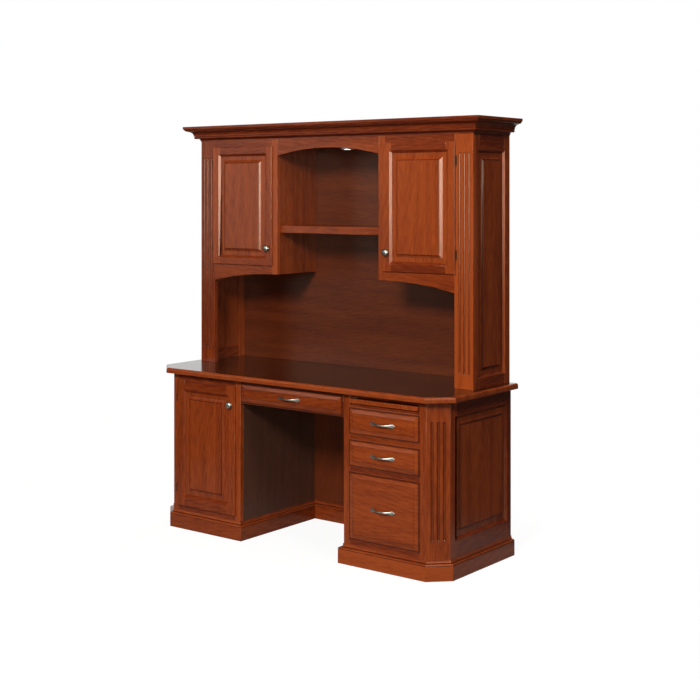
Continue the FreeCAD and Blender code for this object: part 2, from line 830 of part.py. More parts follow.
def make_base_doors_and_frames():
    """The left pedestal's door and the face frames of both pedestals."""
    opening = (-opening_x1, -opening_x0, bottom_rail_top, door_opening_top)
    knob_z = door_opening_top + lip_lap - knob_end_distance
    leaves, pins, seats = door("base_door", opening, front_y, -1, door_stile, door_rail, knob_z)

    def board(x0, x1, z0, z1):
        return box(x0, x1, front_y, frame_back_y, z0, z1)

    stiles = [board(half_kneehole, opening_x0, 0, case_top), board(opening_x1, post_x, 0, case_top)]
    bottom_rail = board(opening_x0, opening_x1, 0, bottom_rail_top)
    left = [cut_all(mirrored(piece), seats) for piece in stiles]
    left.append(mirrored(bottom_rail))
    left.append(board(-opening_x1, -opening_x0, door_opening_top, case_top))
    export("left_face_frame", *left)
    rails = [bottom_rail]
    for z0, z1 in ((drawer_3_top, drawer_2_bottom), (drawer_2_top, drawer_1_bottom),
                   (drawer_1_top, slot_bottom), (slot_top, case_top)):
        rails.append(board(opening_x0, opening_x1, z0, z1))
    export("right_face_frame", *stiles, *rails)
    return leaves, pins


def make_drawers():
    """The centre drawer and the three pedestal drawers. Gives the cleats behind their runners."""
    top = case_top - centre_front_top_gap
    half = half_kneehole - centre_front_side_gap
    rect = (-half, half, top - centre_front_height, top)
    levels = front_levels() + [(0, front_thickness)]
    heights = (rect[2] + centre_box_margin, rect[3] - centre_box_margin)
    channels = drawer("centre_drawer", rect, levels, (-half_kneehole, half_kneehole), heights,
                      centre_box_back_y, centre_runner_y1)
    cleats = []
    openings = [
        (drawer_1_bottom, drawer_1_top, box_top_gap),
        (drawer_2_bottom, drawer_2_top, box_top_gap),
        (bottom_rail_top, drawer_3_top, file_box_top_gap),
    ]
    for number, (z0, z1, top_gap) in enumerate(openings, 1):
        rect = inset((opening_x0, opening_x1, z0, z1), -lip_lap)
        heights = (z0 + box_lift, z1 - top_gap)
        channels += drawer("drawer_%d" % number, rect, lipped_levels(*front_levels()),
                           (opening_x0, opening_x1), heights, box_back_y, runner_y1)
        low = (heights[0] + heights[1] - runner_height) / 2
        cleats.append(box(inner_wall_x, opening_x0, frame_back_y, runner_y1, low, low + runner_height))
    export("case_runners", *channels)
    return cleats


def make_pullout_board():
    """The writing board above the drawers. Gives the wooden guides that it slides between."""
    low = slot_bottom + board_lift
    high = slot_top - board_top_gap
    leaf = box(opening_x0 + board_side_play, opening_x1 - board_side_play,
               front_face_y, board_back_y, low, high)
    nosing = [edge for edge in leaf.Edges
              if edge.BoundBox.YMax < front_y and edge.BoundBox.ZMax - edge.BoundBox.ZMin < TINY]
    export("pullout_board", leaf.makeFillet(door_edge_ease, nosing))
    guides = []
    for x0, x1 in ((inner_wall_x, opening_x0 + guide_reach), (opening_x1 - guide_reach, opening_x1)):
        for z0, z1 in ((low - guide_play - guide_height, low - guide_play), (high + guide_play, case_top)):
            guides.append(box(x0, x1, frame_back_y, runner_y1, z0, z1))
    return guides


def make_base_case():
    """The top, ends, posts, inner walls, floors and backs of the base. Gives its shelf and pins."""
    export("desk_top", desk_top())
    export("base_moulding", *base_moulding())
    export("corner_posts", *pair(corner_post()))
    rect = (post_y, back_y, 0, case_top)
    place = end_place(half_base)
    envelope = block(place, rect, 0, frame_thickness)
    boards, panel = panelled_frame(place, envelope, rect, (end_front_stile, end_back_stile),
                                   (moulding_top + end_bottom_reveal, end_top_rail))
    shelf_z = bottom_rail_top + base_shelf_height
    pin_places = (post_y + end_front_stile / 2, back_y - end_back_stile / 2)
    wall_pins, wall_holes = shelf_pins(-inner_wall_x, -1, pin_places, shelf_z)
    end_pins, end_holes = shelf_pins(-outer_wall_x, 1, pin_places, shelf_z)
    left_boards = [cut_all(mirrored(board), end_holes) for board in boards]
    export("end_frames", *left_boards, *boards)
    export("end_panels", *pair(panel))
    wall = box(half_kneehole, inner_wall_x, frame_back_y, back_y, 0, case_top)
    export("inner_sides", cut_all(mirrored(wall), wall_holes), wall)
    floor_low = bottom_rail_top - board_thickness
    outline = [(inner_wall_x, frame_back_y), (post_x, frame_back_y), (outer_wall_x, post_y),
               (outer_wall_x, inside_back_y), (inner_wall_x, inside_back_y)]
    export("pedestal_floors", *pair(slab(outline, floor_low, bottom_rail_top)))
    export("pedestal_backs", *pair(box(inner_wall_x, outer_wall_x, inside_back_y, back_y, 0, case_top)))
    export("kneehole_back", box(-half_kneehole, half_kneehole, kneehole_back_y, back_y, 0, case_top))
    export("drawer_liner", box(opening_x1, opening_x1 + board_thickness, frame_back_y, inside_back_y,
                               bottom_rail_top, case_top))
    shelf = box(-outer_wall_x + shelf_play, -inner_wall_x - shelf_play, post_y + shelf_setback,
                inside_back_y - shelf_play, shelf_z, shelf_z + board_thickness)
    return [shelf], wall_pins + end_pins


def make_hutch_front():
    """The hutch's doors, pilasters, stiles and rails. Gives the case leaves and pins of its hinges."""
    opening = (hutch_opening_x0, hutch_opening_x1, hutch_floor_top, hutch_ceiling)
    knob_z = hutch_floor_top - lip_lap + knob_end_distance
    leaves, pins, seats = door("hutch_right_door", opening, hutch_front_y, 1,
                               hutch_door_stile, hutch_door_rail, knob_z)
    opening = (-hutch_opening_x1, -hutch_opening_x0, hutch_floor_top, hutch_ceiling)
    left_leaves, left_pins, left_seats = door("hutch_left_door", opening, hutch_front_y, -1,
                                              hutch_door_stile, hutch_door_rail, knob_z)
    right_post = pilaster()
    export("pilasters", cut_all(mirrored(right_post), left_seats), cut_all(right_post, seats))
    stile = box(half_bay, hutch_opening_x0, hutch_front_y, hutch_frame_back_y,
                stile_bottom, hutch_case_top)
    export("hutch_stiles", *pair(stile))
    rail = box(hutch_opening_x0, hutch_opening_x1, hutch_front_y, hutch_frame_back_y,
               hutch_ceiling, hutch_case_top)
    apex = hutch_ceiling - arch_gap
    spring = apex - arch_rise
    arch = arched_board(-half_bay, half_bay, hutch_case_top, (spring, spring), (0, apex))
    export("hutch_top_rails", *pair(rail), arch)
    export("hutch_valances", *pair(valance()))
    return leaves + left_leaves, pins + left_pins


def make_hutch_case():
    """The hutch behind its front. Gives its cabinet shelves and its shelf pins."""
    rect = (hutch_frame_back_y, back_y, desk_height, hutch_case_top)
    place = end_place(half_hutch)
    envelope = block(place, rect, 0, frame_thickness)
    boards, panel = panelled_frame(place, envelope, rect, (hutch_end_front_stile, hutch_end_back_stile),
                                   (hutch_end_bottom_rail, hutch_end_top_rail + crown_lap))
    export("hutch_end_panels", *pair(panel))
    partition = box(half_bay, partition_x, hutch_frame_back_y, inside_back_y,
                    stile_bottom, hutch_ceiling)
    pin_places = (hutch_frame_back_y + hutch_end_front_stile / 2, back_y - hutch_end_back_stile / 2)
    shelf_z = hutch_floor_top + hutch_shelf_height
    all_pins = []
    end_pins, end_holes = shelf_pins(hutch_wall_x, -1, pin_places, shelf_z)
    wall_pins, wall_holes = shelf_pins(partition_x, 1, pin_places, shelf_z)
    for pin in end_pins + wall_pins:
        all_pins += pair(pin)
    boards = [cut_all(board, end_holes) for board in boards]
    mirror_boards = [mirrored(board) for board in boards]
    export("hutch_end_frames", *mirror_boards, *boards)
    centre_top = stile_bottom + centre_shelf_height
    centre_low = centre_top - centre_shelf_thickness
    bay_front = hutch_front_y + centre_shelf_setback
    bay_places = (hutch_frame_back_y + hutch_end_front_stile, back_y - hutch_end_back_stile)
    bay_pins, bay_holes = shelf_pins(half_bay, -1, bay_places, centre_low)
    for pin in bay_pins:
        all_pins += pair(pin)
    export("hutch_partitions", *pair(cut_all(partition, wall_holes + bay_holes)))
    export("centre_shelf", box(shelf_play - half_bay, half_bay - shelf_play, bay_front,
                               inside_back_y, centre_low, centre_top))
    floor = box(partition_x, hutch_wall_x, hutch_frame_back_y, inside_back_y,
                hutch_floor_top - board_thickness, hutch_floor_top)
    export("hutch_floors", *pair(floor))
    export("hutch_top", box(-hutch_wall_x, hutch_wall_x, hutch_frame_back_y, inside_back_y,
                            hutch_ceiling, hutch_ceiling + board_thickness))
    export("hutch_back", box(-hutch_wall_x, hutch_wall_x, inside_back_y, back_y,
                             desk_height, hutch_case_top))
    export("crown", *crown())
    shelf = box(partition_x + shelf_play, hutch_wall_x - shelf_play, hutch_frame_back_y + shelf_setback,
                inside_back_y - shelf_play, shelf_z, shelf_z + board_thickness)
    return pair(shelf), all_pins


def puck_light():
    """A round light under the middle of the hutch's ceiling: its housing and its lens."""
    middle = (hutch_frame_back_y + inside_back_y) / 2
    low = point(0, middle, hutch_ceiling - puck_height)
    recess = Part.makeCylinder(puck_lens_radius + puck_lens_play, puck_lens_depth, low, UP)
    housing = Part.makeCylinder(puck_radius, puck_height, low, UP).cut(recess).Solids[0]
    return housing, Part.makeCylinder(puck_lens_radius, puck_lens_depth, low, UP)


os.makedirs("parts", exist_ok=True)
base_shelves, base_pins = make_base_case()
base_leaves, base_hinge_pins = make_base_doors_and_frames()
export("runner_cleats", *make_drawers(), *make_pullout_board())
hutch_leaves, hutch_hinge_pins = make_hutch_front()
hutch_shelves, hutch_pins = make_hutch_case()
export("cabinet_shelves", *base_shelves, *hutch_shelves)
export("shelf_pins", *base_pins, *hutch_pins)
export("hinge_case_leaves", *base_leaves, *hutch_leaves)
export("hinge_pins", *base_hinge_pins, *hutch_hinge_pins)
export("puck_light", *puck_light())
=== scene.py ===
import json
import math
import random

import bmesh
import bpy
from mathutils import Matrix, Vector

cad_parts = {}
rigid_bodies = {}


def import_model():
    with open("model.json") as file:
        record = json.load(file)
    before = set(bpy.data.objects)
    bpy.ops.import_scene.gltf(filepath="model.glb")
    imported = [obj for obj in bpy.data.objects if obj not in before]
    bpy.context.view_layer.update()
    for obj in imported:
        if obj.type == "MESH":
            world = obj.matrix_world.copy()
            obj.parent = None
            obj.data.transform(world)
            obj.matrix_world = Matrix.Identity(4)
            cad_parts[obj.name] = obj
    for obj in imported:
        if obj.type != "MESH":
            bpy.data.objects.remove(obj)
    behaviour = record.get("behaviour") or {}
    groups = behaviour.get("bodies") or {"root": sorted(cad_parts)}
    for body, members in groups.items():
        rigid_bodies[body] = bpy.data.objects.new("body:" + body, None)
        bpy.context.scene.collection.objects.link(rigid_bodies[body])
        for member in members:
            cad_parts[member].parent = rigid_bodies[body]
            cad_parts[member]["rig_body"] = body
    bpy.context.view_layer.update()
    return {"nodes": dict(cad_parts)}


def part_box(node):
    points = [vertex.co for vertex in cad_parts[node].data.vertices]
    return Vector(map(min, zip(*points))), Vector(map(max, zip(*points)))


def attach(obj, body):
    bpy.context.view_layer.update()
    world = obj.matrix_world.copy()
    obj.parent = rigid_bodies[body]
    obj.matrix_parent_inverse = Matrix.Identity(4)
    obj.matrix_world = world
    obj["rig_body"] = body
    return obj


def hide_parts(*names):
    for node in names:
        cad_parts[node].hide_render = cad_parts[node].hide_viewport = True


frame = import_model()  # bodies, nodes, joints, record

MM = 0.001
RIGHT = Vector((1, 0, 0))
UP = Vector((0, 0, 1))
OUTWARD = Vector((0, -1, 0))
INWARD = Vector((0, 1, 0))

# Camera, solved from the photo's corners and upright edges, for a square image
CAMERA_PLACE = (3.784, -4.821, 1.612)
CAMERA_YAW = math.radians(38.43)
CAMERA_LENS = 68.1
CAMERA_SENSOR = 36.0
CAMERA_SHIFT = (0.0429, -0.2277)

# Boards: how far sanding eases an arris, which angles count as flat and as sharp, and which edges stay as
# cut: those shorter than this, and those that meet an edge with less than this room
ARRIS_EASE = 0.7 * MM
FLAT_ANGLE = math.radians(0.4)
SHARP_ANGLE = math.radians(28)
SHORT_EDGE = 7 * MM
ROOM_TO_EASE = 3 * ARRIS_EASE
# A curved surface comes in strips up to this wide. An edge under this share of a strip's longest is its end.
STRIP_WIDTH = 9 * MM
STRIP_END = 0.1
# Cosines from which a board counts as upright and a face as level
UPRIGHT = 0.9
LEVEL = 0.99
# Painted shade darkens the inner corners of mouldings that turn in by more than this, and thins out over this
# distance. Flutes are shallower, and get a share of it.
CORNER_ANGLE = math.radians(20)
CORNER_REACH = 7 * MM
FLUTED = ["corner_posts", "pilasters"]
FLUTE_ANGLE = math.radians(3)
FLUTE_SHADE_SHARE = 0.42
# The groove round a drawer front's raised field, how far its sides slope, and how true the field's faces are
QUIRK_WIDTH = 1.8 * MM
QUIRK_DEPTH = 1.2 * MM
QUIRK_SLOPE = 0.3 * MM
FIELD_PLAY = 0.1 * MM
# Grain: how far along the trunk boards are taken from, how far from its middle line, how deep in it, how it
# tapers, how far apart the rings are drawn, and a full turn of a wave. Blender's waves are this many times
# finer than their scale.
TRUNK_LENGTH = 4.0
TRUNK_ASIDE = 0.05
TRUNK_DEPTHS = (0.03, 0.09)
TRUNK_TAPER = 0.16
RING_WIDTH = 18.0
WAVE_TURN = 2 * math.pi
WAVE_FINENESS = 20
# How light a board is: about 0 for a dark one and 1 for a light one. Rails between stiles are drawn darker:
# partly darker boards, partly painted shade under the fronts that stand proud above them.
UPRIGHT_TONES = (0.55, 1.0)
LEVEL_TONES = (0.45, 0.95)
RAIL_TONES = (0.15, 0.45)
# Tones of boards that stand out in the photo: of all a node's boards, or of one by its number in the node.
# Some are painted light and shade: end-frame boards darkened as painted shadow under the top's and the
# crown's overhangs, the frieze darkened as painted shade under the crown, and the plinth's front boards and
# the crown's right return lightened as painted light.
NODE_TONES_AND_PAINTED_LIGHT = {
    "crown": 0.1, "hutch_top_rails": 0.2, "desk_top": 1.0, "pullout_board": 1.0,
    "drawer_1_front": 0.95, "drawer_2_front": 0.9, "drawer_3_front": 0.85,
    "hutch_left_door_panel": 0.65, "hutch_right_door_panel": 1.0,
}
BOARD_TONES_AND_PAINTED_LIGHT = {
    ("pilasters", 0): 0.25, ("pilasters", 1): 1.4, ("hutch_stiles", 0): 1.2, ("hutch_top_rails", 2): 0.5,
    ("base_moulding", 2): 0.6, ("base_moulding", 6): 1.45, ("base_moulding", 7): 1.45, ("crown", 2): 0.7,
    ("end_frames", 5): 0.15, ("end_frames", 7): 0.0, ("hutch_end_frames", 7): 0.1,
}
# Boards with upright grain, though they may be wider than high
UPRIGHT_GRAIN = ["kneehole_back", "inner_sides", "pedestal_backs", "hutch_partitions"]
RANDOM_SEED = 7

# Turned and cast fittings: faces round a turning and round a pull's bar before they are smoothed
TURNING_STEPS = 24
BAR_SIDES = 12
SMOOTHING = 2

# A Mix node's sockets for colours, which share their names with others
COLOUR_A = 6
COLOUR_B = 7
COLOUR_RESULT = 2


def srgb(text):
    """A written sRGB colour as the linear colour that a shader takes."""
    channels = [int(text[i:i + 2], 16) / 255 for i in (1, 3, 5)]
    linear = [c / 12.92 if c <= 0.04045 else ((c + 0.055) / 1.055) ** 2.4 for c in channels]
    return (*linear, 1.0)


def add(tree, kind, inputs, output=0, **settings):
    """Adds a node and gives one of its outputs. An input is a socket to link from or a value to set."""
    node = tree.nodes.new("ShaderNode" + kind)
    for name, value in settings.items():
        setattr(node, name, value)
    for name, value in inputs.items():
        if isinstance(value, bpy.types.NodeSocket):
            tree.links.new(value, node.inputs[name])
        else:
            node.inputs[name].default_value = value
    return node.outputs[output]


def new_material(name):
    """A material with its node tree and its shader."""
    material = bpy.data.materials.new(name)
    material.use_nodes = True
    tree = material.node_tree
    return material, tree, tree.nodes["Principled BSDF"]


def streaks(tree, grain, length, width, detail):
    """Noise drawn out along the grain, in features so many millimetres long and wide."""
    stretch = (1 / (length * MM), 1 / (width * MM), 1 / (width * MM))
    drawn = add(tree, "Mapping", {"Vector": grain, "Scale": stretch})
    return add(tree, "TexNoise", {"Vector": drawn, "Scale": 1.0, "Detail": detail, "Distortion": 0.25})


def growth_rings(tree, grain):
    """The tapering rings of the trunk, which a flat-sawn board cuts into pointed arches."""
    trunk = add(tree, "Mapping", {"Vector": grain, "Scale": (0.12, 1.0, 1.0)})
    steepness = TRUNK_TAPER * WAVE_TURN / (RING_WIDTH * MM)
    taper = add(tree, "VectorMath", {0: grain, 1: (steepness, 0, 0)}, "Value", operation="DOT_PRODUCT")
    # Rings a few millimetres apart are too fine to show, so they are drawn five times as wide
    spacing = WAVE_TURN / (WAVE_FINENESS * RING_WIDTH * MM)
    return add(tree, "TexWave", {"Vector": trunk, "Scale": spacing, "Distortion": 9.0, "Detail": 2.0,
                                 "Detail Scale": 0.8, "Phase Offset": taper}, "Fac",
               wave_type="RINGS", rings_direction="X", wave_profile="SIN")


def wood(name, light, dark, fleck_and_corner_shade, roughness, gloss, coat):
    """Planed boards under lacquer, with grain along each board's own length."""
    material, tree, shader = new_material(name)
    grain = add(tree, "Attribute", {}, "Vector", attribute_name="grain")
    board = add(tree, "Attribute", {}, "Fac", attribute_name="tone")
    rings = growth_rings(tree, grain)
    fibre = streaks(tree, grain, length=60, width=2.2, detail=3.0)
    # Each pattern, the range of it that shows, and how much it sways the colour from dark to light
    patterns = [
        (rings, 0.0, 1.0, 0.06),
        (streaks(tree, grain, length=500, width=34, detail=2.0), 0.25, 0.75, 0.21),
        (streaks(tree, grain, length=46, width=9, detail=3.0), 0.3, 0.7, 0.12),
        (fibre, 0.3, 0.7, 0.09),
    ]
    share = add(tree, "MapRange", {"Value": board, "To Min": 0.05, "To Max": 0.7}, clamp=False)
    for pattern, low, high, sway in patterns:
        swayed = add(tree, "MapRange", {"Value": pattern, "From Min": low, "From Max": high, "To Min": -sway,
                                        "To Max": sway}, interpolation_type="SMOOTHSTEP")
        share = add(tree, "Math", {0: share, 1: swayed}, operation="ADD")
    ground = add(tree, "Mix", {"Factor": share, COLOUR_A: srgb(dark), COLOUR_B: srgb(light)}, COLOUR_RESULT,
                 data_type="RGBA")
    # Gum flecks are finer than a pixel of the photo, so they are drawn about twice as wide as they are
    gum = streaks(tree, grain, length=15, width=3.0, detail=1.0)
    specks = add(tree, "MapRange", {"Value": gum, "From Min": 0.68, "From Max": 0.76, "To Max": 0.6},
                 interpolation_type="SMOOTHSTEP")
    flecked = add(tree, "Mix", {"Factor": specks, COLOUR_A: ground, COLOUR_B: srgb(fleck_and_corner_shade)}, COLOUR_RESULT,
                  data_type="RGBA")
    # Painted shade darkens inner corners, in the colour of the flecks
    corner = add(tree, "Attribute", {}, "Fac", attribute_name="corner")
    corner_shade = add(tree, "MapRange", {"Value": corner, "From Max": 0.8, "To Max": 0.85},
                   interpolation_type="SMOOTHSTEP")
    colour = add(tree, "Mix", {"Factor": corner_shade, COLOUR_A: flecked, COLOUR_B: srgb(fleck_and_corner_shade)}, COLOUR_RESULT,
                 data_type="RGBA")
    tree.links.new(colour, shader.inputs["Base Color"])
    sheen = add(tree, "MapRange", {"Value": fibre, "From Min": 0.3, "From Max": 0.7,
                                   "To Min": roughness + 0.04, "To Max": roughness - 0.03})
    tree.links.new(sheen, shader.inputs["Roughness"])
    relief = add(tree, "Bump", {"Strength": 0.06, "Distance": 0.05 * MM, "Height": fibre})
    tree.links.new(relief, shader.inputs["Normal"])
    shader.inputs["Specular IOR Level"].default_value = gloss
    shader.inputs["Specular Tint"].default_value = srgb("#FFE6CC")
    shader.inputs["Coat Weight"].default_value = coat
    shader.inputs["Coat Roughness"].default_value = 0.10
    return material


def metal(name, light, dark, roughness, patch):
    """Plated metal with a slightly uneven surface, in patches so many millimetres across."""
    material, tree, shader = new_material(name)
    place = add(tree, "TexCoord", {}, "Object")
    cloud = add(tree, "TexNoise", {"Vector": place, "Scale": 1 / (patch * MM), "Detail": 3.0})
    colour = add(tree, "Mix", {"Factor": cloud, COLOUR_A: srgb(dark), COLOUR_B: srgb(light)}, COLOUR_RESULT,
                 data_type="RGBA")
    tree.links.new(colour, shader.inputs["Base Color"])
    uneven = add(tree, "MapRange", {"Value": cloud, "To Min": roughness + 0.08, "To Max": roughness - 0.06})
    tree.links.new(uneven, shader.inputs["Roughness"])
    shader.inputs["Metallic"].default_value = 1.0
    return material


def frosted_acrylic(name, grit_size, glow):
    """A clouded lens with grit so many millimetres across, and a lamp behind it."""
    material, tree, shader = new_material(name)
    place = add(tree, "TexCoord", {}, "Object")
    grit = add(tree, "TexNoise", {"Vector": place, "Scale": 1 / (grit_size * MM)})
    colour = add(tree, "Mix", {"Factor": grit, COLOUR_A: srgb("#F2EADB"), COLOUR_B: srgb("#FFFFFF")},
                 COLOUR_RESULT, data_type="RGBA")
    tree.links.new(colour, shader.inputs["Base Color"])
    tree.links.new(colour, shader.inputs["Emission Color"])
    shader.inputs["Emission Strength"].default_value = glow
    shader.inputs["Roughness"].default_value = 0.5
    return material


# Red-brown stain takes unevenly on cherry: an orange ground with soft darker streaks and small gum flecks.
# Satin lacquer, gone slightly amber, gives warm bright lines along edges and mouldings.
cherry = wood("cherry_boards_stained_and_satin_lacquered", "#A5491C", "#6C250C", "#39140A",
              roughness=0.20, gloss=0.28, coat=0.0)
# The top's upper face is veneered and rubbed out to a higher gloss, so at a low angle it mirrors what stands
# behind it. Its colour is drawn far darker than the cherry's: painted shade that keeps it dark under the
# light from above.
polished_top_painted_dark = wood("cherry_veneer_stained_and_rubbed_glossy", "#301509", "#1E0B05", "#120603",
                       roughness=0.17, gloss=0.5, coat=0.3)
# Veneered back boards are drawn darker than the solid wood: painted shade for the backs of the hutch and the
# kneehole, deep in their recesses.
cherry_veneer = wood("cherry_veneer_stained_and_satin_lacquered", "#6C2E13", "#461A0B", "#270D06",
                     roughness=0.32, gloss=0.4, coat=0.0)
# The kneehole's walls are veneer too, only oiled and so dull. Their colour is drawn darker and greyer than
# the cherry's: painted shade and a painted sheen for the deep kneehole.
kneehole_wall_painted_dark = wood("cherry_veneer_stained_and_oiled", "#613B2B", "#41261B", "#26160E",
                    roughness=0.45, gloss=0.4, coat=0.0)
# Maple inside the drawers is pale and close grained under one thin coat.
maple = wood("maple_boards_planed_and_sealed", "#DDB780", "#C0925C", "#96683C",
             roughness=0.42, gloss=0.5, coat=0.0)
# Zinc plating is dull grey-blue with faint cloudy patches.
zinc = metal("steel_sheet_zinc_plated", "#B9BCC0", "#8C9095", roughness=0.38, patch=12)
# Browned steel is dark and warm, with a faint gleam where it is rubbed.
browned_steel = metal("steel_sheet_browned_and_waxed", "#3E2716", "#20130A", roughness=0.42, patch=6)
# Cast zinc, plated and tumbled to look like old pewter: soft grey with darker clouds.
pewter = metal("zinc_cast_and_pewter_plated", "#B2AFA3", "#6C6A63", roughness=0.34, patch=7)
# Satin nickel has an even, soft grey shine.
nickel = metal("steel_spun_and_satin_nickel_plated", "#CBC8C0", "#B4B1AA", roughness=0.30, patch=20)
# A frosted lens scatters light evenly, and the lamp behind it glows.
frosted = frosted_acrylic("acrylic_lens_frosted", grit_size=1.5, glow=6.0)


# Which slot of the record each node takes its finish from, by a word in its name; the rest are cherry
SLOT_WORDS = [
    ("_box", "drawer_wood"), ("runner_cleats", "drawer_wood"), ("runners", "runner_steel"),
    ("hinge", "hinge_steel"), ("shelf_pins", "hinge_steel"), ("_knob", "pewter"), ("_pull", "pewter"),
    ("puck_light", "lamp_metal"), ("pedestal_backs", "cherry_veneer"), ("hutch_back", "cherry_veneer"),
    ("kneehole_back", "cherry_veneer"),
]
FINISHES = {
    "cherry": cherry, "cherry_veneer": cherry_veneer, "drawer_wood": maple, "runner_steel": zinc,
    "hinge_steel": browned_steel, "pewter": pewter, "lamp_metal": nickel,
}
chance = random.Random(RANDOM_SEED)


def slot_of(node):
    """The slot of the record that a node takes its finish from."""
    for word, slot in SLOT_WORDS:
        if word in node:
            return slot
    return "cherry"


def piece_from(bm, name, node, material):
    """An object of a finished shape, which stands for the CAD node and moves with its body."""
    mesh = bpy.data.meshes.new(name)
    bm.to_mesh(mesh)
    bm.free()
    mesh.materials.append(material)
    piece = bpy.data.objects.new(name, mesh)
    bpy.context.scene.collection.objects.link(piece)
    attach(piece, frame["nodes"][node]["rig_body"])
    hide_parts(node)
    return piece


def boards_of(node):
    """The separate boards of a CAD node, each a list of triangles.

    A node's boards follow one another and each is closed, so a board ends where every edge has met its mate.
    """
    mesh = frame["nodes"][node].data
    boards = []
    triangles = []
    unmet = set()
    for polygon in mesh.polygons:
        # Rounded to a micrometre, so that neighbours share their corners
        corners = [tuple(round(c, 6) for c in mesh.vertices[i].co) for i in polygon.vertices]
        if len(set(corners)) < 3:
            continue
        triangles.append(corners)
        for a, b in zip(corners, corners[1:] + corners[:1]):
            if (b, a) in unmet:
                unmet.remove((b, a))
            else:
                unmet.add((a, b))
        if not unmet:
            boards.append(triangles)
            triangles = []
    if triangles:
        boards.append(triangles)
    return boards


def joined(boards):
    """Boards as one mesh of whole faces, each board apart, and the layer with each face's board."""
    bm = bmesh.new()
    board_of = bm.faces.layers.int.new("board")
    for index, triangles in enumerate(boards):
        points = {}
        for corners in triangles:
            for corner in corners:
                if corner not in points:
                    points[corner] = bm.verts.new(corner)
            face = bm.faces.new([points[c] for c in corners])
            face[board_of] = index
    bm.normal_update()
    bmesh.ops.dissolve_limit(bm, angle_limit=FLAT_ANGLE, verts=bm.verts, edges=bm.edges)
    return bm, board_of


def width_of(face):
    """About how wide a long face is."""
    return 2 * face.calc_area() / face.calc_perimeter()


def curved(edge):
    """Whether an edge runs along a curved surface, between two of its narrow strips."""
    if not FLAT_ANGLE < edge.calc_face_angle() < SHARP_ANGLE:
        return False
    for face in edge.link_faces:
        if width_of(face) > STRIP_WIDTH:
            return False
        if edge.calc_length() < STRIP_END * max(e.calc_length() for e in face.edges):
            return False
    return True


def smooth_curves(bm):
    """Shades curved surfaces smooth and keeps the other edges sharp."""
    for edge in bm.edges:
        if len(edge.link_faces) == 2:
            edge.smooth = curved(edge)
            for face in edge.link_faces:
                face.smooth = face.smooth or edge.smooth


def longest_edges(bm, board_of, board_count):
    """The longest edge of each board, as a vector."""
    longest = [(0.0, RIGHT)] * board_count
    for edge in bm.edges:
        index = edge.link_faces[0][board_of]
        length = edge.calc_length()
        if length > longest[index][0]:
            longest[index] = (length, edge.verts[1].co - edge.verts[0].co)
    return [direction for length, direction in longest]


def arrises(bm):
    """The long outer edges of the boards, which sanding takes the sharpness off."""
    chosen = []
    for edge in bm.edges:
        if len(edge.link_faces) != 2 or not edge.is_convex or edge.calc_face_angle() < SHARP_ANGLE:
            continue
        if edge.calc_length() < SHORT_EDGE:
            continue
        around = [e.calc_length() for v in edge.verts for e in v.link_edges]
        if min(around) > ROOM_TO_EASE:
            chosen.append(edge)
    return chosen


def quirk(bm):
    """Cuts a fine groove round the raised field of a drawer front."""
    front = min(face.calc_center_median().y for face in bm.faces)
    field = [face for face in bm.faces if face.calc_center_median().y < front + FIELD_PLAY]
    border = bmesh.ops.inset_region(bm, faces=field, thickness=QUIRK_WIDTH, depth=0)["faces"]
    bmesh.ops.inset_region(bm, faces=border, thickness=QUIRK_SLOPE, depth=-QUIRK_DEPTH)


def painted_corner_shade(bm, least_angle):
    """How much painted shade points of narrow mouldings get: 1 in an inner corner, and less away from it."""
    away = {}
    for edge in bm.edges:
        if len(edge.link_faces) == 2 and not edge.is_convex and edge.calc_face_angle() > least_angle:
            for vert in edge.verts:
                if all(width_of(face) < STRIP_WIDTH for face in vert.link_faces):
                    away[vert] = 0.0
    reached = list(away)
    while reached:
        vert = reached.pop()
        for edge in vert.link_edges:
            other = edge.other_vert(vert)
            distance = away[vert] + edge.calc_length()
            narrow = all(width_of(face) < STRIP_WIDTH for face in other.link_faces)
            if narrow and distance < min(CORNER_REACH, away.get(other, CORNER_REACH)):
                away[other] = distance
                reached.append(other)
    return {vert: 1 - distance / CORNER_REACH for vert, distance in away.items()}


def places_in_trunk(node, boards, directions):
    """How each board turns and shifts to its place in the trunk it was sawn from, and how light it is."""
    places = []
    for index, (triangles, direction) in enumerate(zip(boards, directions)):
        along = UP if node in UPRIGHT_GRAIN else direction.normalized()
        upright = abs(along.z) > UPRIGHT
        across = (RIGHT if upright else UP).cross(along).normalized()
        shift = Vector((chance.uniform(-TRUNK_LENGTH, TRUNK_LENGTH),
                        chance.uniform(-TRUNK_ASIDE, TRUNK_ASIDE),
                        chance.uniform(*TRUNK_DEPTHS)))
        level_tones = RAIL_TONES if node.endswith(("_frame", "_frames")) else LEVEL_TONES
        drawn_tone = chance.uniform(*(UPRIGHT_TONES if upright else level_tones))
        # Some of these set tones are painted light and shade
        shade = BOARD_TONES_AND_PAINTED_LIGHT.get((node, index), NODE_TONES_AND_PAINTED_LIGHT.get(node, drawn_tone))
        turn = Matrix((along, across, along.cross(across)))
        corners = [Vector(c) for triangle in triangles for c in triangle]
        middle = sum(corners, Vector()) / len(corners)
        places.append((turn, shift - turn @ middle, shade))
    return places


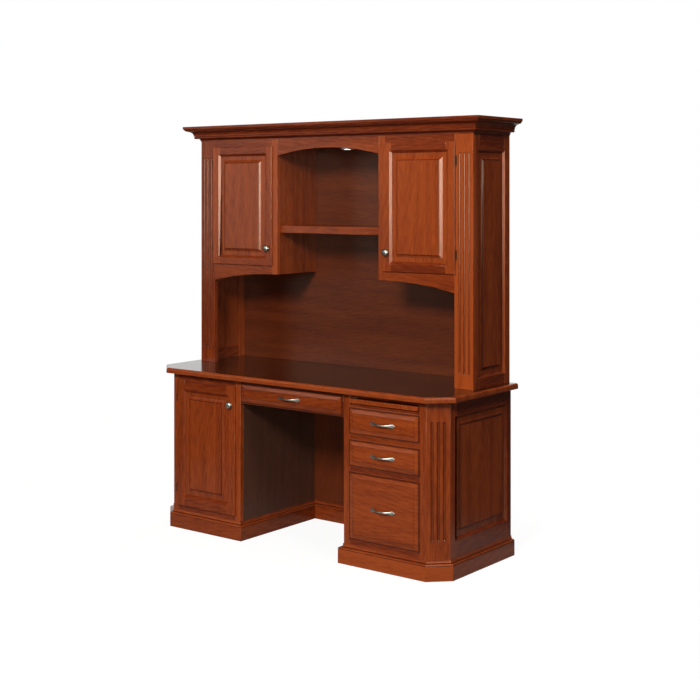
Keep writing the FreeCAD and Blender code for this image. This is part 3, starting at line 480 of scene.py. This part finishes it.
def wooden(node, material):
    """A CAD node's boards with eased arrises, grain along each one's longest edge and a tone of its own."""
    boards = boards_of(node)
    bm, board_of = joined(boards)
    smooth_curves(bm)
    directions = longest_edges(bm, board_of, len(boards))
    eased = bmesh.ops.bevel(bm, geom=arrises(bm), offset=ARRIS_EASE, offset_type="OFFSET", segments=2,
                            profile=0.5, affect="EDGES", clamp_overlap=False, material=-1)
    for face in eased["faces"]:
        face.smooth = True
    if node.endswith("_front"):
        quirk(bm)
    places = places_in_trunk(node, boards, directions)
    grain = bm.verts.layers.float_vector.new("grain")
    tone = bm.verts.layers.float.new("tone")
    corner = bm.verts.layers.float.new("corner")
    # Painted shade in inner corners, and a weaker share in flutes, carried to the colour by the corner
    # attribute
    corner_shading = painted_corner_shade(bm, FLUTE_ANGLE if node in FLUTED else CORNER_ANGLE)
    most = FLUTE_SHADE_SHARE if node in FLUTED else 1.0
    for vert in bm.verts:
        turn, shift, shade = places[vert.link_faces[0][board_of]]
        vert[grain] = turn @ vert.co + shift
        vert[tone] = shade
        vert[corner] = most * corner_shading.get(vert, 0.0)
    return piece_from(bm, node + "_boards", node, material)


def turning(bm, profile, place, axis):
    """Turns a profile of (radius, height) pairs, in millimetres, about an axis through a place."""
    side = axis.orthogonal().normalized()
    points = [bm.verts.new(place + (side * radius + axis * height) * MM) for radius, height in profile]
    edges = [bm.edges.new(pair) for pair in zip(points, points[1:])]
    bmesh.ops.spin(bm, geom=points + edges, cent=place, axis=axis, angle=2 * math.pi,
                   steps=TURNING_STEPS, use_merge=True)
    bmesh.ops.remove_doubles(bm, verts=bm.verts, dist=0.01 * MM)
    bmesh.ops.recalc_face_normals(bm, faces=bm.faces)


def smoothed(piece):
    """Rounds a coarse shape with a subdivision surface."""
    piece.data.shade_smooth()
    rounding = piece.modifiers.new("rounding", "SUBSURF")
    rounding.levels = SMOOTHING
    rounding.render_levels = SMOOTHING


# A knob from its foot on the door up to the top of its dome, as radius and height
KNOB_PROFILE = [
    (0.0, 0.0), (7.8, 0.0), (8.0, 0.3), (8.0, 2.2), (7.3, 2.8), (5.6, 4.2), (5.2, 7.5), (5.6, 10.6),
    (8.5, 12.8), (13.0, 14.6), (15.6, 15.8), (16.0, 17.0), (15.5, 18.6), (12.8, 21.6), (8.6, 24.0),
    (4.0, 24.9), (0.0, 25.0),
]
# A pan head screw from its bearing face up
SCREW_HEAD = 2.5
SCREW_PROFILE = [
    (0.0, 0.0), (3.9, 0.0), (4.0, 0.3), (3.9, 1.2), (3.0, 2.2), (1.4, SCREW_HEAD), (0.0, SCREW_HEAD),
]


def knob(node, door_face):
    """A turned knob on a door's face, and the head of the screw that holds it from inside."""
    low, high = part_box(node)
    middle = (low + high) / 2
    front = Vector((middle.x, door_face, middle.z))
    back = Vector((middle.x, high.y - SCREW_HEAD * MM, middle.z))
    bm = bmesh.new()
    turning(bm, KNOB_PROFILE, front, OUTWARD)
    turning(bm, SCREW_PROFILE, back, INWARD)
    smoothed(piece_from(bm, node + "_turned", node, pewter))


def bar_section(bm, place, half_depth, half_width):
    """One oval ring of a pull's bar, across its length."""
    turn = Matrix.Rotation(math.pi / 2, 4, "Y")
    size = Matrix.Diagonal((1, half_depth, half_width, 1))
    stand = Matrix.Translation(place) @ size @ turn
    return bmesh.ops.create_circle(bm, segments=BAR_SIDES, radius=MM, matrix=stand)["verts"]


# A pull in millimetres: between its posts, its bar's least half width and half depth, what the feet, the ends
# and the bow add to them, and how far out from the drawer the feet lie
PULL_POSTS = 96.0
BAR_HALF_WIDTH = 4.0
FOOT_SWELL = 4.2
END_SWELL = 1.0
BAR_HALF_DEPTH = 1.7
BOW_SWELL = 2.0
FOOT_OUT = 2.6
# Its tips round off from this share of the half length, to these shares of their width and depth
TIP_START = 0.86
TIP_WIDTH = 0.25
TIP_DEPTH = 0.5
# How many lengths its bar is made of, and a post from the drawer out
PULL_STATIONS = 24
POST_PROFILE = [(0.0, 0.0), (5.2, 0.0), (5.2, 0.5), (4.4, 1.6), (4.4, 5.6), (0.0, 5.6)]


def bow_pull(node, drawer_face):
    """A bow pull: a bar that swells into flat rounded feet, on two posts held by screws from inside."""
    low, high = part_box(node)
    middle = (low + high) / 2
    half_length = (high.x - low.x) / 2
    rise = drawer_face - low.y - (FOOT_OUT + BAR_HALF_DEPTH + BOW_SWELL) * MM
    bm = bmesh.new()
    before = None
    for i in range(PULL_STATIONS + 1):
        share = 2 * i / PULL_STATIONS - 1
        bow = math.cos(share * math.pi / 2) ** 2
        foot = math.sin(abs(share) ** 3 * math.pi) ** 2
        past = max(0.0, (abs(share) - TIP_START) / (1 - TIP_START))
        tip = math.sqrt(max(0.0, 1 - past ** 2))
        half_width = (BAR_HALF_WIDTH + FOOT_SWELL * foot + END_SWELL * (1 - bow)) * max(tip, TIP_WIDTH)
        half_depth = (BAR_HALF_DEPTH + BOW_SWELL * bow) * max(tip, TIP_DEPTH)
        out = FOOT_OUT * MM + rise * bow
        place = Vector((middle.x + share * half_length, drawer_face - out, middle.z))
        ring = bar_section(bm, place, half_depth, half_width)
        edges = [e for e in bm.edges if e.verts[0] in ring and e.verts[1] in ring]
        if before:
            bmesh.ops.bridge_loops(bm, edges=before + edges)
        before = edges
    bmesh.ops.holes_fill(bm, edges=bm.edges, sides=BAR_SIDES)
    for side in (-1, 1):
        post = Vector((middle.x + side * PULL_POSTS / 2 * MM, drawer_face, middle.z))
        turning(bm, POST_PROFILE, post, OUTWARD)
        turning(bm, SCREW_PROFILE, Vector((post.x, high.y - SCREW_HEAD * MM, post.z)), INWARD)
    smoothed(piece_from(bm, node + "_cast", node, pewter))


# A puck light's housing with its rolled rim, and its lens, from the ceiling down
HOUSING_PROFILE = [
    (0.0, 0.0), (34.0, 0.0), (34.0, 0.4), (34.0, 9.0), (33.2, 12.0), (31.0, 13.8), (29.0, 14.0), (27.4, 13.2),
    (27.0, 11.4), (0.0, 11.0),
]
LENS_PROFILE = [(0.0, 10.0), (26.8, 10.0), (26.8, 11.6), (24.0, 12.6), (14.0, 13.6), (0.0, 13.9)]


def puck_light(node):
    """A round light: a spun housing with a rolled rim, and its frosted lens."""
    low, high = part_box(node)
    ceiling = Vector(((low.x + high.x) / 2, (low.y + high.y) / 2, high.z))
    for name, profile, material in [("_housing", HOUSING_PROFILE, nickel), ("_lens", LENS_PROFILE, frosted)]:
        bm = bmesh.new()
        turning(bm, profile, ceiling, -UP)
        smoothed(piece_from(bm, node + name, node, material))


def desk_top(node):
    """The top, with its upper face veneered, polished and painted dark as shade, and its edges of solid
    cherry.
    """
    mesh = wooden(node, cherry).data
    mesh.materials.append(polished_top_painted_dark)
    for face in mesh.polygons:
        face.material_index = 1 if face.normal.z > LEVEL else 0


for node in list(frame["nodes"]):
    slot = slot_of(node)
    if node == "desk_top":
        desk_top(node)
    elif slot in ("cherry", "cherry_veneer", "drawer_wood"):
        # The kneehole's walls take the finish with painted shade and sheen
        wooden(node, kneehole_wall_painted_dark if node == "inner_sides" else FINISHES[slot])
    elif node.endswith("_knob"):
        knob(node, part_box(node.replace("_knob", "_frame"))[0].y)
    elif node.endswith("_pull"):
        bow_pull(node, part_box(node.replace("_pull", "_front"))[0].y)
    elif node == "puck_light":
        puck_light(node)
    else:
        fitting = frame["nodes"][node].data
        fitting.materials.clear()
        fitting.materials.append(FINISHES[slot])


def seen_directly(tree, in_gloss):
    """1 for what the camera sees, a share of it in gloss and through glass, and 0 in other light paths."""
    seen = add(tree, "LightPath", {}, "Is Camera Ray")
    for ray in ("Is Glossy Ray", "Is Transmission Ray"):
        share = add(tree, "Math", {0: add(tree, "LightPath", {}, ray), 1: in_gloss}, operation="MULTIPLY")
        seen = add(tree, "Math", {0: seen, 1: share}, operation="MAXIMUM")
    return seen


# Floor: a pale pool round the object, mostly in front of it, that keeps its shadow and fades into the
# background. It glows for the camera and a little in gloss.
FLOOR_PLACE = (0.1, -0.8, 0)
FLOOR_RADIUS = 2.1
FLOOR_FADE = (1.4, 2.05)
FLOOR_SIDES = 96
FLOOR_GLOW = 0.88
FLOOR_IN_GLOSS = 0.35
bm = bmesh.new()
bmesh.ops.create_circle(bm, cap_ends=True, segments=FLOOR_SIDES, radius=FLOOR_RADIUS)
floor_mesh = bpy.data.meshes.new("studio_floor")
bm.to_mesh(floor_mesh)
bm.free()
floor = bpy.data.objects.new("studio_floor", floor_mesh)
floor.location = FLOOR_PLACE
bpy.context.scene.collection.objects.link(floor)

floor_paper, tree, shader = new_material("studio_floor_paper")
tree.nodes.remove(shader)
paper = add(tree, "BsdfDiffuse", {"Color": srgb("#7C7A78")})
glow = add(tree, "Emission", {"Strength": FLOOR_GLOW})
pale = add(tree, "AddShader", {0: paper, 1: glow})
surface = add(tree, "MixShader", {0: seen_directly(tree, FLOOR_IN_GLOSS), 1: paper, 2: pale})
reach = add(tree, "VectorMath", {0: add(tree, "TexCoord", {}, "Object")}, "Value", operation="LENGTH")
fade = add(tree, "MapRange", {"Value": reach, "From Min": FLOOR_FADE[0], "From Max": FLOOR_FADE[1]},
           interpolation_type="SMOOTHSTEP")
faded = add(tree, "MixShader", {0: fade, 1: surface, 2: add(tree, "BsdfTransparent", {})})
tree.links.new(faded, tree.nodes["Material Output"].inputs["Surface"])
floor_mesh.materials.append(floor_paper)

# Background: white to the camera. In gloss it is white behind the object as the photo sees it, and turns grey
# between these cosines to that direction. As a light it is dim.
WHITE_WALL = (0.80, 0.93)
GREY_WALL = 0.06
FILL_LIGHT = 0.03
world = bpy.data.worlds.new("studio")
bpy.context.scene.world = world
world.use_nodes = True
tree = world.node_tree
looking = (-math.sin(CAMERA_YAW), math.cos(CAMERA_YAW), 0)
facing = add(tree, "VectorMath", {0: add(tree, "TexCoord", {}, "Generated"), 1: looking}, "Value",
             operation="DOT_PRODUCT")
wall = add(tree, "MapRange", {"Value": facing, "From Min": WHITE_WALL[0], "From Max": WHITE_WALL[1],
                              "To Min": GREY_WALL, "To Max": 1.0}, interpolation_type="SMOOTHSTEP")
backdrop = add(tree, "Math", {0: wall, 1: add(tree, "LightPath", {}, "Is Camera Ray")}, operation="MAXIMUM")
level = add(tree, "Mix", {"Factor": seen_directly(tree, 1.0), "A": FILL_LIGHT, "B": backdrop})
tree.nodes["Background"].inputs["Color"].default_value = (1, 1, 1, 1)
tree.links.new(level, tree.nodes["Background"].inputs["Strength"])


def softbox(name, place, target, size, power, in_gloss=True, in_matt=True):
    """A rectangular soft light from a place toward a target, for gloss, for matt surfaces or for both."""
    lamp = bpy.data.lights.new(name, "AREA")
    lamp.shape = "RECTANGLE"
    lamp.size, lamp.size_y = size
    lamp.energy = power
    holder = bpy.data.objects.new(name, lamp)
    holder.location = place
    holder.rotation_euler = (Vector(target) - Vector(place)).to_track_quat("-Z", "Y").to_euler()
    holder.visible_camera = False
    holder.visible_glossy = in_gloss
    holder.visible_diffuse = in_matt
    bpy.context.scene.collection.objects.link(holder)


# The main light stands in front, a little to the right and above, so ledges throw shadows down and to the
# left. Weaker ones hang over the right end, at the left, where upper bevels mirror it, and low in front.
softbox("front_softbox", (1.72, -5.62, 4.0), (0, 0, 1.0), size=(1.4, 1.2), power=308)
softbox("right_softbox", (3.9, -1.65, 4.7), (0.8, 0, 0.3), size=(1.2, 1.2), power=58)
softbox("left_softbox", (-3.6, -4.6, 3.1), (0, 0, 0.9), size=(2.0, 1.1), power=24)
softbox("low_softbox", (1.0, -7.0, 1.7), (0, 0, 1.2), size=(3.0, 1.2), power=20)
# Three more fill in the shaded sides, the back and the left end
softbox("near_softbox", (4.4, -5.6, 1.5), (0.3, 0, 0.8), size=(1.0, 1.0), power=36, in_gloss=False)
softbox("rear_softbox", (0, 5.0, 3.2), (0, 0, 0.9), size=(2.0, 1.4), power=150, in_gloss=False)
softbox("left_end_softbox", (-5.0, 0.6, 1.8), (-0.8, 0, 0.9), size=(1.5, 1.2), power=50, in_gloss=False)
# Walls of light show only in gloss: two beside and behind the camera as pale lines along coves, sticking and
# flutes, and one at the left as a faint sheen over the hutch's left front
WALL_HEIGHT = 1.5
WALL_TARGET = (0, 0, 1.85)
softbox("near_wall", (4.11, -5.66, 1.85), WALL_TARGET, size=(4.55, WALL_HEIGHT), power=510, in_matt=False)
softbox("side_wall", (6.66, -2.16, 1.85), WALL_TARGET, size=(3.5, WALL_HEIGHT), power=120, in_matt=False)
softbox("left_wall", (-4.8, -4.95, 1.6), WALL_TARGET, size=(2.3, WALL_HEIGHT), power=18, in_matt=False)

camera = bpy.data.objects.new("camera", bpy.data.cameras.new("camera"))
camera.location = CAMERA_PLACE
camera.rotation_euler = (math.pi / 2, 0, CAMERA_YAW)
camera.data.lens = CAMERA_LENS
camera.data.sensor_width = CAMERA_SENSOR
camera.data.shift_x, camera.data.shift_y = CAMERA_SHIFT
bpy.context.scene.collection.objects.link(camera)
bpy.context.scene.camera = camera
bpy.context.scene.view_settings.view_transform = "Standard"
